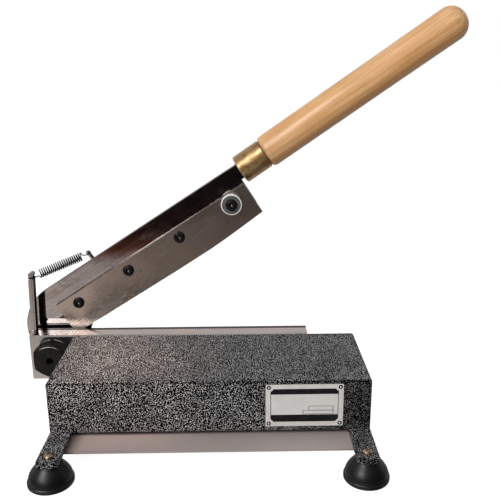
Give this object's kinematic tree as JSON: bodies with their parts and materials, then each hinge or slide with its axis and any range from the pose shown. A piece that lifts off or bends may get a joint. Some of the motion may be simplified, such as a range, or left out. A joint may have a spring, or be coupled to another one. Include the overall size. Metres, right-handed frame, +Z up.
{
  "type": "korean rice cake cutter",
  "caption": "Bench cutter for rice cake: sheet table on round rubber feet, fixed blade along the back edge, sprung swinging blade arm with turned wooden handle.",
  "frame": {"origin": "on the floor plane, under the middle of the whole outline; the table itself is 21 mm to the left of it", "axes": "+X to the right along the blades, towards the handle; +Y to the back, from the table to the blades; +Z up"},
  "size_m": [0.4043, 0.1998, 0.3564],
  "materials": {
    "hammertone": "black and silver hammered enamel",
    "rubber": "satin moulded rubber",
    "plated_screw": "yellow-plated, worn",
    "zinc_steel": "bright plated",
    "sheet_steel": "smooth rolled sheet",
    "ground_steel": "ground and polished",
    "blade_steel": "surface ground",
    "black_steel": "black oxide, oiled",
    "plate_aluminium": "satin with black etched bands",
    "spring_steel": "oiled spring wire",
    "polished_steel": "mirror polished",
    "bronze": "sintered",
    "bearing_steel": "polished",
    "brass": "turned, lightly aged",
    "beech": "clear varnish"
  },
  "bodies": {
    "base": {"table_shell": "hammertone", "leg_bar_left": "hammertone", "leg_bar_right": "hammertone", "foot_front_left": "rubber", "foot_front_right": "rubber", "foot_rear_left": "rubber", "foot_rear_right": "rubber", "foot_screws": "plated_screw", "foot_washers": "zinc_steel", "foot_nuts": "zinc_steel", "leg_screws": "zinc_steel", "leg_nuts": "zinc_steel", "lower_plate": "sheet_steel", "back_plate": "ground_steel", "fixed_blade": "blade_steel", "fixed_blade_screws": "black_steel", "fixed_blade_nuts": "zinc_steel", "nameplate": "plate_aluminium", "nameplate_rivets": "zinc_steel", "spring_post": "ground_steel", "spring_post_screw": "zinc_steel", "pivot_bolt": "black_steel", "pivot_collar": "black_steel", "pivot_spacer": "zinc_steel", "pivot_rear_washer": "zinc_steel", "pivot_nut": "black_steel", "spring": "spring_steel"},
    "arm": {"arm": "polished_steel", "pivot_bush": "bronze", "moving_blade": "blade_steel", "blade_screws": "black_steel", "bearing_screw": "black_steel", "bearing_spacer": "zinc_steel", "bearing_inner_ring": "bearing_steel", "bearing_balls": "bearing_steel", "ferrule": "brass", "handle": "beech", "spring_stud": "zinc_steel"},
    "stop_roller": {"bearing_outer_ring": "bearing_steel", "bearing_shields": "bearing_steel"}
  },
  "joints": [
    {"name": "blade_pivot", "type": "hinge", "parent": "base", "child": "arm", "pos_m": [-0.1702, 0.07315, 0.0482], "axis": [0, 1, 0], "range_deg": [-12, 32.3], "stiffness_Nm_per_rad": 4, "springref_deg": -17.19, "deforming": ["spring"]},
    {"name": "stop_roller_spin", "type": "hinge", "parent": "arm", "child": "stop_roller", "pos_m": [-0.00283, 0.06235, 0.1867], "axis": [0, 1, 0], "continuous": true}
  ]
}
